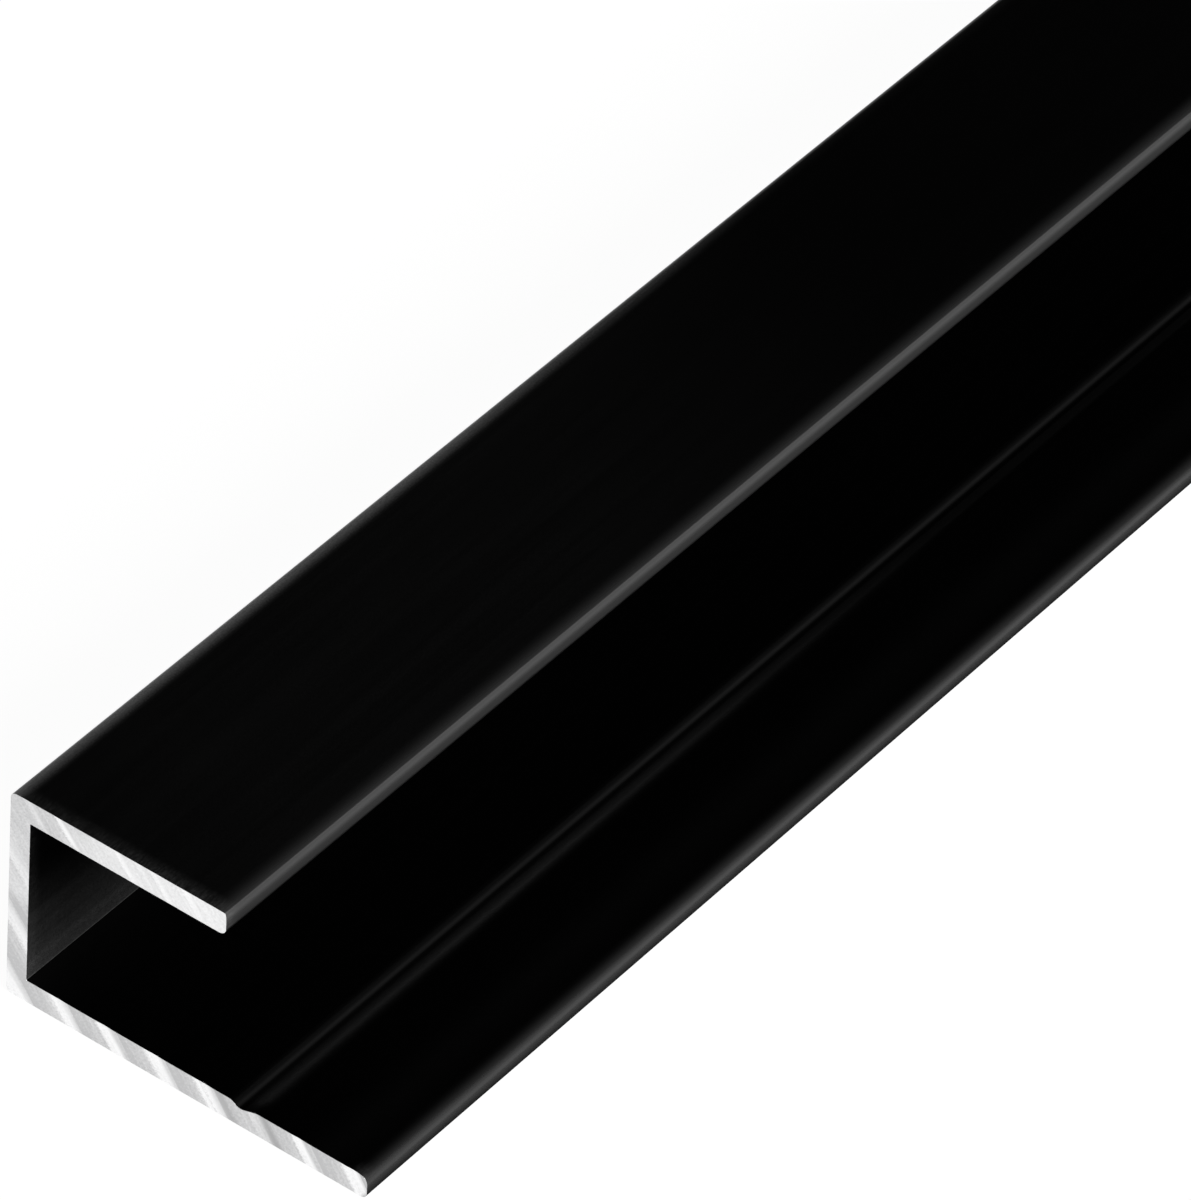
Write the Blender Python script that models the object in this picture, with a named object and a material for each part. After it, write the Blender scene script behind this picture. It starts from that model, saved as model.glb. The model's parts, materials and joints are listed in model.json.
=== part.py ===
"""A length of extruded aluminium channel with one leg longer than the other, black anodised.

It lies on its long leg. The section is drawn once, in metres, with its web at -X and its legs
pointing to +X, and carried along Y. The origin is the middle of the underside.
"""

import math

import bpy
from mathutils import Vector

# Length sold, and the section's own sizes, in metres
LENGTH = 1.0
LONG_LEG = 0.0236
SHORT_LEG = 0.014
SLOT_GAP = 0.0109
LEG_WALL = 0.0015
WEB_WALL = 0.0013

# Rounds of the section's edges
HEEL_ROUND = 0.0003
SLOT_ROUND = 0.0001
LIP_ROUND = 0.00025
TOE_TOP_ROUND = 0.0006
TOE_UNDER_ROUND = 0.0002

# Drill guide groove in the long leg, just outside the short leg's lip
GROOVE_PAST_LIP = 0.00078
GROOVE_WIDTH = 0.00165
GROOVE_INNER_FLANK = math.radians(38.0)
GROOVE_OUTER_FLANK = math.radians(18.0)
GROOVE_FLOOR_ROUND = 0.0007
GROOVE_INNER_EDGE_ROUND = 0.00045
GROOVE_OUTER_EDGE_ROUND = 0.0015

# How finely a round is drawn, and the share of an edge that one round may take
STEP = math.radians(15.0)
EDGE_SHARE = 0.48

COLLECTION = "Unequal leg channel"
NODE = "channel_profile"
BLACK = (0.004, 0.004, 0.0041, 1.0)


def clear_scene():
    """Take every object out, so that the script can be run again in an open file."""
    for item in list(bpy.data.objects):
        bpy.data.objects.remove(item, do_unlink=True)


def section_corners():
    """The section's sharp corners, anticlockwise from the heel, each with the radius of its round."""
    height = SLOT_GAP + 2.0 * LEG_WALL
    inner_slope = math.tan(GROOVE_INNER_FLANK)
    groove_depth = GROOVE_WIDTH / (1.0 / inner_slope + 1.0 / math.tan(GROOVE_OUTER_FLANK))
    groove_start = SHORT_LEG + GROOVE_PAST_LIP
    groove_apex = Vector((groove_start + groove_depth / inner_slope, LEG_WALL - groove_depth))
    return [
        (Vector((0.0, 0.0)), HEEL_ROUND),
        (Vector((LONG_LEG, 0.0)), TOE_UNDER_ROUND),
        (Vector((LONG_LEG, LEG_WALL)), TOE_TOP_ROUND),
        (Vector((groove_start + GROOVE_WIDTH, LEG_WALL)), GROOVE_OUTER_EDGE_ROUND),
        (groove_apex, GROOVE_FLOOR_ROUND),
        (Vector((groove_start, LEG_WALL)), GROOVE_INNER_EDGE_ROUND),
        (Vector((WEB_WALL, LEG_WALL)), SLOT_ROUND),
        (Vector((WEB_WALL, height - LEG_WALL)), SLOT_ROUND),
        (Vector((SHORT_LEG, height - LEG_WALL)), LIP_ROUND),
        (Vector((SHORT_LEG, height)), LIP_ROUND),
        (Vector((0.0, height)), HEEL_ROUND),
    ]


def round_corner(before, corner, after, radius):
    """Points of the arc that touches both edges of a corner.

    The arc starts radius times the tangent of half the turn back from the corner. Where the edge is
    too short for that, the arc keeps to its share of the edge.
    """
    edge_in = corner - before
    edge_out = after - corner
    way_in = edge_in.normalized()
    way_out = edge_out.normalized()
    turn = way_in.angle_signed(way_out)
    half = abs(turn) / 2.0
    room = EDGE_SHARE * min(edge_in.length, edge_out.length)
    reach = min(radius * math.tan(half), room)
    to_centre = reach / math.tan(half)
    side = Vector((way_in.y, -way_in.x)) * math.copysign(1.0, turn)
    start = corner - way_in * reach
    centre = start + side * to_centre
    count = max(2, math.ceil(abs(turn) / STEP))
    spoke = start - centre
    points = []
    for step in range(count + 1):
        angle = turn * step / count
        cosine = math.cos(angle)
        sine = math.sin(angle)
        turned = Vector((cosine * spoke.x + sine * spoke.y, cosine * spoke.y - sine * spoke.x))
        points.append(centre + turned)
    return points


def section_outline():
    """The rounded section as one closed ring of points."""
    corners = section_corners()
    ring = []
    for number, (corner, radius) in enumerate(corners):
        before = corners[number - 1][0]
        after = corners[(number + 1) % len(corners)][0]
        ring.extend(round_corner(before, corner, after, radius))
    return ring


def black_anodised():
    """The skin's material: a nearly black oxide on aluminium, satin."""
    material = bpy.data.materials.new("black anodised aluminium")
    material.use_nodes = True
    shader = material.node_tree.nodes["Principled BSDF"]
    shader.inputs["Base Color"].default_value = BLACK
    shader.inputs["Metallic"].default_value = 0.0
    shader.inputs["Roughness"].default_value = 0.3
    shader.inputs["Specular IOR Level"].default_value = 0.3
    return material


def channel_profile():
    """The channel: the section filled, extruded to both sides and turned to lie along Y."""
    outline = bpy.data.curves.new(NODE, type="CURVE")
    outline.dimensions = "2D"
    outline.fill_mode = "BOTH"
    outline.extrude = LENGTH / 2.0
    ring = section_outline()
    spline = outline.splines.new("POLY")
    spline.points.add(len(ring) - 1)
    for point, place in zip(spline.points, ring):
        point.co = (place.x - LONG_LEG / 2.0, place.y, 0.0, 1.0)
    spline.use_cyclic_u = True
    outline.materials.append(black_anodised())
    channel = bpy.data.objects.new(NODE, outline)
    channel.rotation_euler = (math.radians(90.0), 0.0, 0.0)
    return channel


def main():
    clear_scene()
    collection = bpy.data.collections.new(COLLECTION)
    bpy.context.scene.collection.children.link(collection)
    collection.objects.link(channel_profile())


main()
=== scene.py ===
"""Looks for one length of black anodised aluminium channel, sawn off square at both ends.

The frame gives the channel's box and walls. Two matched paths run round the wall of its section, one
outside and one inside. Everything between them is a surface of two parameters: the place along the
paths, and the way across the wall. The skin carries the border of that surface along the length, and
a thin slice at each end has the whole of it as its sawn face.
"""

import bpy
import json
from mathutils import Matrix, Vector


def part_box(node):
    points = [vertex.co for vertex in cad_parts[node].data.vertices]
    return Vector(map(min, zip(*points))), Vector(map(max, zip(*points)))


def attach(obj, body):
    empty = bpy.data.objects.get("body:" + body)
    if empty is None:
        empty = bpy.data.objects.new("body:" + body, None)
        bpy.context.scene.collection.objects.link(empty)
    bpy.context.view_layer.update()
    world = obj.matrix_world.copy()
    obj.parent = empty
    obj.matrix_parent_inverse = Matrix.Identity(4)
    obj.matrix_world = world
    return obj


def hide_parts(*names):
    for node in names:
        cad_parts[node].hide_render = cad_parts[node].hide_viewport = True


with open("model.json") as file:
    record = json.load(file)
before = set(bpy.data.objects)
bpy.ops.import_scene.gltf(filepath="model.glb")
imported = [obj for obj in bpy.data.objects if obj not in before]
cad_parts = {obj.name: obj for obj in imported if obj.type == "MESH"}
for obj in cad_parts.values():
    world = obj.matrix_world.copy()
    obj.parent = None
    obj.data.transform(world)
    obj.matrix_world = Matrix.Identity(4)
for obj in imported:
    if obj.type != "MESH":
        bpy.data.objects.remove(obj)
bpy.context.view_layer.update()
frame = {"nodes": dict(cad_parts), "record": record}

import json
import math

import bpy
import numpy as np
from bpy.props import FloatProperty, FloatVectorProperty, PointerProperty
from mathutils import Matrix, Vector

bl_info = {
    "name": "Black anodised channel",
    "version": (1, 0, 0),
    "blender": (4, 5, 0),
    "location": "View3D > Sidebar > Channel",
    "description": "Dresses a length of unequal leg channel with its skin, its sawn ends and a studio",
    "category": "Object",
}

NODE = "channel_profile"
BODY = "root"
MM = 0.001
FINE = 1e-9
SHARP_ANGLE = math.radians(50.0)

LOW, HIGH = (np.array(corner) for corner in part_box(NODE))


def mount_place(name):
    """A mount's point in the record, in metres."""
    return next(mount["pos_m"] for mount in frame["record"]["mounts"] if mount["name"] == name)


def reach_above(height):
    """How far from the web's back the CAD node reaches above a height."""
    places = np.array([vertex.co for vertex in frame["nodes"][NODE].data.vertices])
    return float(places[places[:, 2] > height, 0].max() - LOW[0])


LEG_WALL = mount_place("fixing_flange_top")[2] - LOW[2]
WEB_WALL = mount_place("slot_seat")[0] - LOW[0]
LONG_LEG = float(HIGH[0] - LOW[0])
HEIGHT = float(HIGH[2] - LOW[2])
SHORT_LEG = reach_above(LOW[2] + HEIGHT / 2.0)

# Arrises rubbed by handling, with painted highlights on them: place across and up from the heel, how far
# the rub leaves the film rougher and how much, how far the painted highlight reaches, and its share all
# along the length and near the ends
EDGE_RUBS_AND_HIGHLIGHTS = (
    (SHORT_LEG, HEIGHT, 0.35 * MM, 1.8, 1.15 * MM, 0.045, 0.0),
    (SHORT_LEG, HEIGHT - LEG_WALL, 0.9 * MM, 1.0, 0.9 * MM, 0.0, 0.0),
    (0.0, HEIGHT, 0.5 * MM, 1.0, 1.15 * MM, 0.0, 0.185),
    (0.0, 0.0, 1.2 * MM, 1.0, 1.0 * MM, 0.0, 0.05),
    (LONG_LEG, LEG_WALL, 0.3 * MM, 1.0, 1.0 * MM, 0.031, 0.0),
)
# the most share of an arris's painted highlight all along the length
EVEN_HIGHLIGHT_MOST = 0.5

# Where else the film wears, as lengths on the section or from the end. A pair is where the wear is none
# and where it is full, and a third number is the power of its rise.
ON_FACE = 0.02 * MM  # a point this close to a face lies on it
LIP_FACE = (0.3 * MM, 1.1 * MM)  # the short leg's end face, in and down from its upper edge
LEG_END_RUB, SHORT_LEG_RUB, LONG_LEG_RUB = 0.25 * MM, 0.5, 0.25  # both end faces, and how rough each is
SEAT_LIGHT_BY_HEIGHT = (9.5 * MM, 2.0 * MM, 1.5)  # painted light by height on the slot's seat, full low down where light reaches under the short leg
SEAT_CUT, SEAT_CUT_MORE = (2.2 * MM, 0.0), 1.1  # and more of that painted light behind the saw cut, where light comes in at the open end
GROOVE_START = (0.25 * MM, 1.25 * MM, 1.5)  # the painted highlight on the groove's outer side begins behind the saw cut,
GROOVE_FADE, GROOVE_LOSS = (25.0 * MM, 42.0 * MM), 0.5  # and loses a share further on
HEEL_FRAY, LIP_FRAY = 0.35, (0.0, 12.0 * MM)  # the fray over the heel, and where it grows to full
TOE_ROUND = 0.25 * MM  # the toe's upper round, down from its face
TOE_FRAY, TOE_FRAYED = (1.1 * MM, 0.6 * MM), 0.7  # the fray there, from the toe, and its share

# Bright tooth marks on the sawn face: count at the middle, width in counts, strength. The short leg was
# cut last, and its marks are its own. The long leg has duller bands: a line within the mark at count
# three, and one past those at three and four.
TOOTH_MARKS = (
    (-1.09, 0.6, 1.0), (0.03, 0.42, 0.73), (0.98, 0.37, 0.95), (2.0, 0.44, 0.9), (3.01, 0.44, 0.93),
    (4.0, 0.24, 0.17), (4.97, 0.3, 1.0), (6.06, 0.46, 1.0),
)
SHORT_LEG_MARKS = (
    (2.44, 0.2, 0.26), (3.02, 0.2, 0.58), (4.13, 0.18, 0.34), (4.84, 0.2, 0.24), (5.45, 0.2, 0.3),
)
DULL_BANDS = ((2.99, 0.09, 0.4), (3.37, 0.26, 0.15), (4.28, 0.26, 0.21))
STREAK_SHAPE = ((-0.5, 0.0), (-0.22, 0.9), (0.1, 1.0), (0.52, 0.0))  # place in widths, and level
BEFORE_FIRST, PAST_LAST = 0.6, 0.5  # counts that the scale of marks goes beyond them

# The sawn face's surface, in counts of marks
RIPPLES, RIPPLE_SWING, SWINGS = 11.0, 2.5, 1.7  # ripples a mark, and how far and often their phase swings
SLOPE_SHARE = 0.6  # share of the relief that is slope and not ripple
NUB_LAG, NUB_WIDTH, NUB_RISE = 0.07, 0.11, 6  # past the mark, half width, and power of the height
NUBS_FROM = 0.3 * MM  # from the slot's corner
NUB_FADE = 0.09 * MM  # how far behind the sawn face the nubs reach

# How the sawn face's look changes over the section: start and end in millimetres from the heel, and the
# values there. A tone is 0 for scraped metal and 1 for burnished.
LAG_AT_FOOT = (0.0, 1.2, 0.03, 0.0)  # by height: the marks come later at the web's foot,
LAG_ABOVE = (6.5, 8.5, 0.0, 0.13)  # and above its middle, in counts
MARKS_FADE = (2.0, 9.0, 1.0, 0.35)  # they fade up the web,
BETWEEN_FADES = (7.0, 9.0, 1.0, 0.0)  # so does the tone between them,
DULL_FADES = (1.5, 2.5, 1.0, 0.0)  # and the dull bands stay on the long leg
UPPER_WEB = (6.0, 7.6, 0.0, 0.31)  # the upper web is painted brighter, standing in for brighter reflections higher up,
OVER_SLOT = (11.0, 12.5, 0.0, -0.16)  # and less so where the short leg begins
SHORT_LEG_FROM = (11.8, 12.6)  # there its own look takes over
SHORT_LEG_MARKS_FADE = (12.3, 13.0, 0.3, 1.0)  # its marks fade towards the slot
PAINTED_LIFT_NEAR = (2.0, 6.5, 0.0, 0.39)  # by place across: its painted brightening grows from the web,
PAINTED_LIFT_FAR = (6.5, 13.4, 0.08, 0.23)  # and on towards the lip
WAVER = 0.07  # how far the speckle moves a mark's edge, in counts
BETWEEN_START, BETWEEN_STOP = 0.27, 0.5  # counts past a mark where the tone between starts, and its length
BETWEEN_SLOPE, BETWEEN_LEAST = 0.62, -0.07  # its rise a count, and where it starts
STREAK_MOST, DULLEST = 0.93, -0.3  # brightest tone before the grain, and least tone with it
LINE_TONE, SPECKLE_TONE = 0.11, 0.475  # how far both grains move the tone
LINE_LEVELS = (0.3, 0.7)  # of the lines, where they move it most


# What a user may change

def length(name, description, default):
    """A length that isn't negative, in metres."""
    return FloatProperty(name=name, description=description, default=default, min=0.0, unit="LENGTH")


def share(name, description, default):
    """A number from none to one."""
    return FloatProperty(name=name, description=description, default=default, min=0.0, max=1.0)


class ChannelSection(bpy.types.PropertyGroup):
    """The section's small forms. Its overall sizes and walls come from the frame."""

    heel_round: length("Heel round", "Radius of the web's two outer edges", 0.38 * MM)
    slot_round: length("Slot round", "Radius of the slot's two inner edges", 0.08 * MM)
    lip_round: length("Lip round", "Radius of the short leg's upper edge", 0.05 * MM)
    lip_under_round: length(
        "Lip under round", "Radius of the short leg's lower edge at the slot's mouth", 0.42 * MM)
    toe_top_round: length("Toe top round", "Radius of the long leg's upper edge", 0.55 * MM)
    toe_under_round: length("Toe under round", "Radius of the long leg's lower edge", 0.38 * MM)
    lip_ease: length("Lip ease", "How far from its edge the short leg's top starts to fall away", 0.3 * MM)
    lip_face_ease: length(
        "Lip face ease", "How far below its edge the short leg's end face starts to lean in", 0.6 * MM)
    lip_face_fall: FloatProperty(
        name="Lip face fall",
        description="Turn over which the short leg's end face loses most of its bend",
        default=math.radians(8.0), min=0.001, subtype="ANGLE",
    )
    heel_ease: length(
        "Heel ease", "How far from the heel the short leg's top starts to fall away", 0.25 * MM)
    toe_ease: length("Toe ease", "How far from its edge the long leg's top starts to fall away", 0.2 * MM)
    ease_fall: FloatProperty(
        name="Ease fall", description="Turn over which an eased edge loses most of its wide bend",
        default=math.radians(3.0), min=0.001, subtype="ANGLE",
    )
    groove_past_lip: length(
        "Groove past lip", "From the short leg's edge to the drill groove's inner edge", 0.78 * MM)
    groove_width: length("Groove width", "Width of the drill groove between its sharp edges", 1.65 * MM)
    groove_inner_flank: FloatProperty(
        name="Groove inner flank", description="Slope of the groove's side towards the slot",
        default=math.radians(36.0), min=0.01, subtype="ANGLE",
    )
    groove_outer_flank: FloatProperty(
        name="Groove outer flank", description="Slope of the groove's side towards the toe",
        default=math.radians(18.0), min=0.01, subtype="ANGLE",
    )
    groove_floor_round: length("Groove floor round", "Radius of the drill groove's floor", 0.7 * MM)
    groove_inner_round: length(
        "Groove inner round", "Radius of the groove's edge towards the slot", 0.45 * MM)
    groove_outer_round: length(
        "Groove outer round", "Radius of the groove's edge towards the toe", 1.5 * MM)
    # painted highlight band along the groove's inner side
    inner_highlight_band: FloatVectorProperty(
        name="Inner rub", description="Rubbed band on the groove's inner side: its middle past the lip, "
        "and half its width",
        size=2, default=(1.17 * MM, 0.12 * MM), unit="LENGTH",
    )
    # painted highlight band along the groove's outer side
    outer_highlight_band: FloatVectorProperty(
        name="Outer rub", description="Rubbed band on the groove's outer side: its middle past the lip, "
        "and half its width",
        size=2, default=(2.06 * MM, 0.36 * MM), unit="LENGTH",
    )


class AnodisedFinish(bpy.types.PropertyGroup):
    """The black oxide film on the drawn metal."""

    colour: FloatVectorProperty(
        name="Colour", description="Colour of the dyed film", subtype="COLOR",
        size=3, default=(0.0004, 0.0004, 0.0004), min=0.0, max=1.0,
    )
    bloom: FloatVectorProperty(
        name="Bloom colour", description="Colour of the film where it took the dye less well",
        subtype="COLOR", size=3, default=(0.001, 0.001, 0.001), min=0.0, max=1.0,
    )
    # colour of the painted highlights and sheen, and of the metal in the fray behind a sawn face
    sheen_and_fray: FloatVectorProperty(
        name="Bared colour", description="Colour of the metal that shows through a rubbed film",
        subtype="COLOR", size=3, default=(0.82, 0.82, 0.82), min=0.0, max=1.0,
    )
    roughness: share("Roughness", "Satin of the wide faces", 0.18)
    rubbed_roughness: share("Rubbed roughness", "Satin of the film at a rubbed edge", 0.5)
    # painted sheen on the outer faces, lighter than the shaded inner faces
    outer_painted_sheen: share("Outer bloom", "Share of bare metal that handling shows on the outer faces", 0.0022)
    # painted light on the slot's seat, lighter low down and near the ends
    seat_painted_light: share("Seat bloom", "Share of bare metal that shows low on the seat of the slot", 0.018)
    # painted highlights on the groove's two sides
    inner_painted_highlight: share("Inner bloom", "Share of bare metal that shows on the groove's inner side", 0.01)
    groove_painted_highlight: share("Groove bloom", "Share of bare metal that shows on the groove's outer side", 0.027)
    frayed: share("Frayed", "Share of bare metal that shows right behind a sawn face", 0.0155)
    # length at each end over which the painted highlights and sheen are strongest
    sheen_end: FloatProperty(
        name="Worn end", description="Length at each end over which handling shows most",
        default=50.0 * MM, min=0.001, unit="LENGTH",
    )
    # how much of the painted highlights and sheen is left away from the ends
    far_sheen_share: share("Unworn share", "How much of the wear is left away from the ends", 0.05)
    specular: share("Specular", "Strength of the film's own reflection", 0.43)
    line_depth: length("Line depth", "Depth of the lines that the die drew", 0.0004 * MM)


class SawnFinish(bpy.types.PropertyGroup):
    """The bare metal that the saw left, and the marks of its teeth."""

    colour: FloatVectorProperty(
        name="Colour", description="Colour of the scraped metal", subtype="COLOR",
        size=3, default=(0.565, 0.565, 0.57), min=0.0, max=1.0,
    )
    bright: FloatVectorProperty(
        name="Bright colour", description="Colour of the metal where a tooth burnished it",
        subtype="COLOR", size=3, default=(0.98, 0.98, 0.985), min=0.0, max=1.0,
    )
    roughness: share("Roughness", "Roughness of the scraped metal", 0.42)
    blade: FloatProperty(
        name="Blade", description="Radius of the saw blade", default=125.0 * MM, min=0.01, unit="LENGTH",
    )
    axle: FloatVectorProperty(
        name="Axle",
        description="Place of the saw's axle from the heel at the mark of count zero, across and up",
        size=2, default=(-97.127 * MM, -73.158 * MM), unit="LENGTH",
    )
    feed: FloatVectorProperty(
        name="Feed", description="How far the axle moves from one mark to the next, across and up",
        size=2, default=(2.368 * MM, 1.175 * MM), unit="LENGTH",
    )
    relief: length("Relief", "Depth of the tooth marks", 0.01 * MM)
    edge_round: length("Edge round", "Radius of the sawn face's own edge", 0.012 * MM)
    burr: length("Burr", "Height of the nubs where a tooth left the long leg", 0.03 * MM)
    slice: FloatProperty(
        name="Slice", description="Length of the piece that carries the sawn face",
        default=0.6 * MM, min=0.0001, unit="LENGTH",
    )


class StudioSettings(bpy.types.PropertyGroup):
    """Camera, lamps and floor."""

    azimuth: FloatProperty(
        name="Azimuth", description="Where the camera stands, turned from the sawn end",
        default=math.radians(34.857), subtype="ANGLE",
    )
    elevation: FloatProperty(
        name="Elevation", description="How high the camera stands above the floor",
        default=math.radians(41.521), subtype="ANGLE",
    )
    roll: FloatProperty(
        name="Roll", description="Turn of the picture about the line of sight",
        default=math.radians(3.914), subtype="ANGLE",
    )
    lens: FloatProperty(name="Lens", description="Focal length in millimetres", default=348.86, min=1.0)
    distance: FloatProperty(
        name="Distance", description="From the camera to the point it looks at",
        default=622.51 * MM, min=0.01, unit="LENGTH",
    )
    aim: FloatVectorProperty(
        name="Aim", description="Point looked at, from the heel of the sawn end",
        size=3, default=(4.648 * MM, 43.811 * MM, 0.0), unit="LENGTH",
    )
    floor_half: FloatProperty(
        name="Floor", description="Half the floor's side", default=60.0, min=1.0, unit="LENGTH",
    )
    key: FloatProperty(
        name="Key", description="Brightness of the soft lamp beside the open slot", default=10.0, min=0.0,
    )
    horizon: FloatProperty(
        name="Horizon", description="Brightness of the white walls round the table", default=0.6, min=0.0,
    )
    ceiling: FloatProperty(
        name="Ceiling", description="Brightness of the dark ceiling", default=0.004, min=0.0,
    )
    wall_top: FloatProperty(
        name="Wall top", description="Elevation at which the white walls start to darken",
        default=math.radians(12.0), subtype="ANGLE",
    )
    ceiling_edge: FloatProperty(
        name="Ceiling edge", description="Elevation at which the ceiling is at its darkest",
        default=math.radians(26.0), subtype="ANGLE",
    )


# The section's curves, across and up from the heel's sharp corner

CLOSE, SMALL = 28, 8  # steps on a round that shows a highlight, and on the groove's inner edge
FINER = 16  # steps of the running sum in each step of a round
TOE_POINTS, SLOT_POINTS, FACE_POINTS, HEEL_POINTS = 40, 90, 80, 4  # along the flats


def bend(before, corner, after, radius, ease_in=0.0, ease_out=0.0, fall_in=1.0, fall_out=1.0, steps=16):
    """An eased round at a corner of the section, as steps + 1 points in the order of the outline.

    The heading turns from the first edge's to the second's. The radius of the bend is the round's own
    plus, at each end, an ease that dies away exponentially with the heading. Each point is the running
    sum of radius times turn along the heading, and the curve is then set so that it touches both edges.
    """
    before, corner, after = (np.array(point, float) for point in (before, corner, after))
    way_in = (corner - before) / np.linalg.norm(corner - before)
    way_out = (after - corner) / np.linalg.norm(after - corner)
    cross = way_in[0] * way_out[1] - way_in[1] * way_out[0]
    turn = math.atan2(abs(cross), float(way_in @ way_out))
    side = np.array([-way_in[1], way_in[0]]) * math.copysign(1.0, cross)
    share = np.linspace(0.0, 1.0, FINER * steps + 1)
    heading = turn * (share - np.sin(2.0 * np.pi * share) / (2.0 * np.pi))
    reach = (radius + ease_in / fall_in * np.exp(-heading / fall_in)
             + ease_out / fall_out * np.exp((heading - turn) / fall_out))
    velocity = reach[:, None] * np.stack([np.cos(heading), np.sin(heading)], axis=1)
    moves = 0.5 * (velocity[1:] + velocity[:-1]) * np.diff(heading)[:, None]
    along, across = np.vstack([np.zeros(2), np.cumsum(moves, axis=0)]).T
    past = across[-1] / math.sin(turn)
    start = corner - way_in * (along[-1] - past * math.cos(turn))
    return (start + along[:, None] * way_in + across[:, None] * side)[::FINER]


def between(start, end, count):
    """A number of points evenly between two points, both left out."""
    share = np.arange(1, count + 1)[:, None] / (count + 1)
    return np.asarray(start) + share * (np.asarray(end) - np.asarray(start))


def wall_paths(section):
    """Two matched paths round the wall from the long leg's toe to the short leg's lip, as (n, 2) arrays.

    The outside path runs along the underside, the web's back and the top, and the inside path along the
    long leg's upper face with its groove, the slot and the short leg's underside. The paths are made of
    stretches, and both have as many stations in each.
    """
    length, short, height, leg, web = LONG_LEG, SHORT_LEG, HEIGHT, LEG_WALL, WEB_WALL
    fall, slot = section.ease_fall, section.slot_round
    inner_slope, outer_slope = math.tan(section.groove_inner_flank), math.tan(section.groove_outer_flank)
    drop = section.groove_width / (1.0 / inner_slope + 1.0 / outer_slope)
    near_edge = (short + section.groove_past_lip, leg)
    far_edge = (near_edge[0] + section.groove_width, leg)
    apex = (near_edge[0] + drop / inner_slope, leg - drop)

    toe_under = bend((0, 0), (length, 0), (length, leg), section.toe_under_round, steps=CLOSE)[::-1]
    toe_top = bend((length, 0), (length, leg), (0, leg), section.toe_top_round,
                   ease_out=section.toe_ease, fall_out=fall, steps=CLOSE)
    shoulder = bend((length, leg), far_edge, apex, section.groove_outer_round)
    trough = bend(far_edge, apex, near_edge, section.groove_floor_round)
    arris = bend(apex, near_edge, (0, leg), section.groove_inner_round, steps=SMALL)
    heel_low = bend((0, leg), (0, 0), (length, 0), section.heel_round)[::-1]
    heel_top = bend((short, height), (0, height), (0, 0), section.heel_round,
                    ease_in=section.heel_ease, fall_in=fall, steps=CLOSE)[::-1]
    lip_top = bend((short, 0), (short, height), (0, height), section.lip_round,
                   ease_in=section.lip_face_ease, ease_out=section.lip_ease,
                   fall_in=section.lip_face_fall, fall_out=fall, steps=CLOSE)[::-1]
    lip_under = bend((0, height - leg), (short, height - leg), (short, height), section.lip_under_round,
                     steps=CLOSE)

    low_heel = np.vstack([
        [[web + slot, 0.0]], between((web + slot, 0.0), heel_low[0], HEEL_POINTS), heel_low,
        between(heel_low[-1], (0.0, leg + slot), HEEL_POINTS), [[0.0, leg + slot]],
    ])
    high_heel = np.vstack([
        [[0.0, height - leg - slot]],
        between((0.0, height - leg - slot), heel_top[0], HEEL_POINTS), heel_top,
    ])
    slot_low = bend((length, leg), (web, leg), (web, height), slot, steps=len(low_heel) - 1)
    slot_high = bend((web, 0), (web, height - leg), (length, height - leg), slot, steps=len(high_heel) - 1)

    leg_inner = np.vstack([
        between(toe_top[-1], shoulder[0], TOE_POINTS), shoulder, trough[1:], arris,
        between(arris[-1], slot_low[0], SLOT_POINTS),
    ])
    gone = (toe_top[-1, 0] - leg_inner[:, 0]) / (toe_top[-1, 0] - slot_low[0, 0])
    leg_outer = toe_under[-1] + gone[:, None] * (low_heel[0] - toe_under[-1])

    outer = np.vstack([
        toe_under, leg_outer, low_heel, between(low_heel[-1], high_heel[0], FACE_POINTS),
        high_heel, between(high_heel[-1], lip_top[0], FACE_POINTS), lip_top,
    ])
    inner = np.vstack([
        toe_top, leg_inner, slot_low, between(slot_low[-1], slot_high[0], FACE_POINTS),
        slot_high, between(slot_high[-1], lip_under[0], FACE_POINTS), lip_under,
    ])
    return outer, inner


# Surfaces and solids

ROWS_ACROSS, BUNCHING = 21, 0.95  # of the sawn face's grid
RINGS_BACK = (0.08, 0.14, 0.24, 0.4, 0.65)  # shares of the slice at which its border has rings
ROWS_ALONG = 61  # of the skin, closer together towards its ends


def wall_grid(outer, inner, across):
    """Points P(u, v) over the section: station u outside, moved v of the way to its partner inside."""
    return outer[:, None] + across[None, :, None] * (inner - outer)[:, None]


def rim_of(stations, across):
    """Numbers of a grid's border points, out along the outside path and back along the inside one."""
    place = np.arange(stations * across).reshape(stations, across)
    return np.concatenate([place[:, 0], place[-1, 1:], place[-2::-1, -1], place[0, -2:0:-1]])


def grid_quads(stations, across):
    """Quads of a grid over the section, facing the near end."""
    place = np.arange(stations * across).reshape(stations, across)
    corners = [place[:-1, :-1], place[:-1, 1:], place[1:, 1:], place[1:, :-1]]
    return np.stack(corners, axis=-1).reshape(-1, 4)


def ring_quads(first, second):
    """Quads between two matched closed rings of point numbers, facing outwards."""
    return np.stack([first, np.roll(first, -1), np.roll(second, -1), second], axis=1)


def lengthwise(points, along):
    """Section points set at their places along the length, in the frame's own axes."""
    along = np.broadcast_to(along, points.shape[:-1])
    return np.stack([points[..., 0] + LOW[0], along, points[..., 1] + LOW[2]], axis=-1)


def placed(name, data):
    """A new object in the scene, at the origin."""
    thing = bpy.data.objects.new(name, data)
    bpy.context.scene.collection.objects.link(thing)
    return thing


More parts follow.
